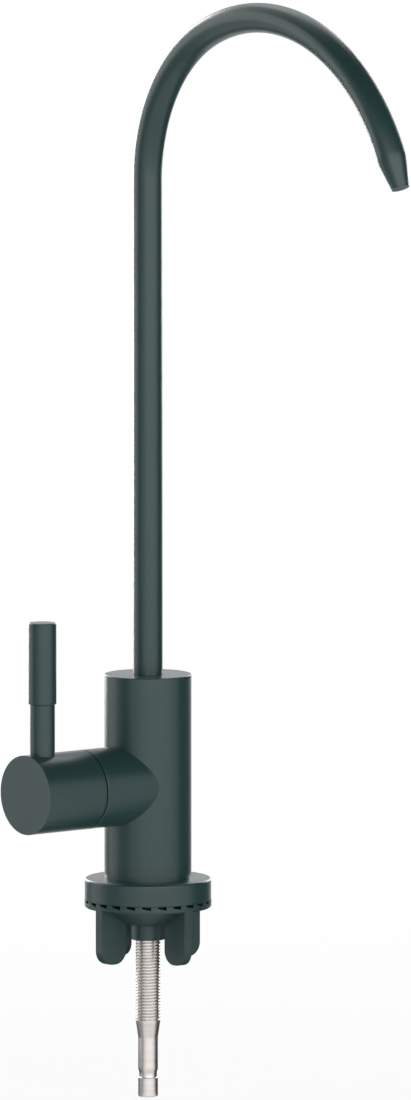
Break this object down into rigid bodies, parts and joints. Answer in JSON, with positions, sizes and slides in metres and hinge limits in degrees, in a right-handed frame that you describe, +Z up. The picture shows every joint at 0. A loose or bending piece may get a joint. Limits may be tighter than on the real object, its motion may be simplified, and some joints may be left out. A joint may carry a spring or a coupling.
{
  "type": "water tap",
  "caption": "Slim deck-mounted drinking-water tap: swivelling gooseneck spout, side branch with a quarter-turn pin lever, threaded shank with wing nut and a plain inlet stem.",
  "frame": {"origin": "centre of the base flange's underside, on the deck plane", "axes": "+Z up along the body and shank, spout towards -Y, branch and lever towards -X"},
  "size_m": [0.0708, 0.1489, 0.3564],
  "materials": {
    "dark_coating": "matt slate-black powder coat",
    "black_plastic": "moulded, fine matt",
    "stainless": "turned, satin",
    "brass": "machined",
    "ceramic": "lapped white ceramic",
    "rubber": "smooth",
    "pale_plastic": "moulded low-friction plastic"
  },
  "bodies": {
    "casing": {"valve_body": "dark_coating", "base_flange": "dark_coating", "flange_gasket": "rubber", "shank": "stainless", "shank_o_ring": "rubber", "spout_thrust_washer": "pale_plastic", "cartridge_housing": "brass", "cartridge_o_ring": "rubber", "cartridge_nut": "brass", "seat_seal": "rubber", "fixed_disc": "ceramic"},
    "spout": {"spout_tube": "dark_coating", "spout_spigot": "brass", "spout_o_ring_lower": "rubber", "spout_o_ring_upper": "rubber", "spout_snap_ring": "stainless"},
    "handle": {"moving_disc": "ceramic", "spindle": "brass", "spindle_o_ring_inner": "rubber", "spindle_o_ring_outer": "rubber", "glide_ring": "pale_plastic", "spindle_clip": "stainless", "handle_hub": "dark_coating", "hub_ring": "dark_coating", "handle_adapter": "brass", "handle_grub_screw": "stainless", "lever_rod": "dark_coating", "lever_grip": "dark_coating"},
    "washer": {"toothed_washer": "black_plastic"},
    "nut": {"wing_nut": "black_plastic"}
  },
  "joints": [
    {"name": "spout_swivel", "type": "hinge", "parent": "casing", "child": "spout", "pos_m": [0, 0, 0.073], "axis": [0, 0, 1], "continuous": true},
    {"name": "handle_turn", "type": "hinge", "parent": "casing", "child": "handle", "pos_m": [0, 0, 0.0377], "axis": [1, 0, 0], "range_deg": [0, 90]},
    {"name": "washer_slide", "type": "slide", "parent": "casing", "child": "washer", "axis": [0, 0, 1], "range_m": [-0.026, 0]},
    {"name": "nut_spin", "type": "hinge", "parent": "washer", "child": "nut", "pos_m": [0, 0, -0.0018], "axis": [0, 0, 1], "range_deg": [-9360, 0]}
  ],
  "couplings": [
    {"joint": "nut_spin", "follows": "washer_slide", "rad_per_m": 6283.2}
  ]
}
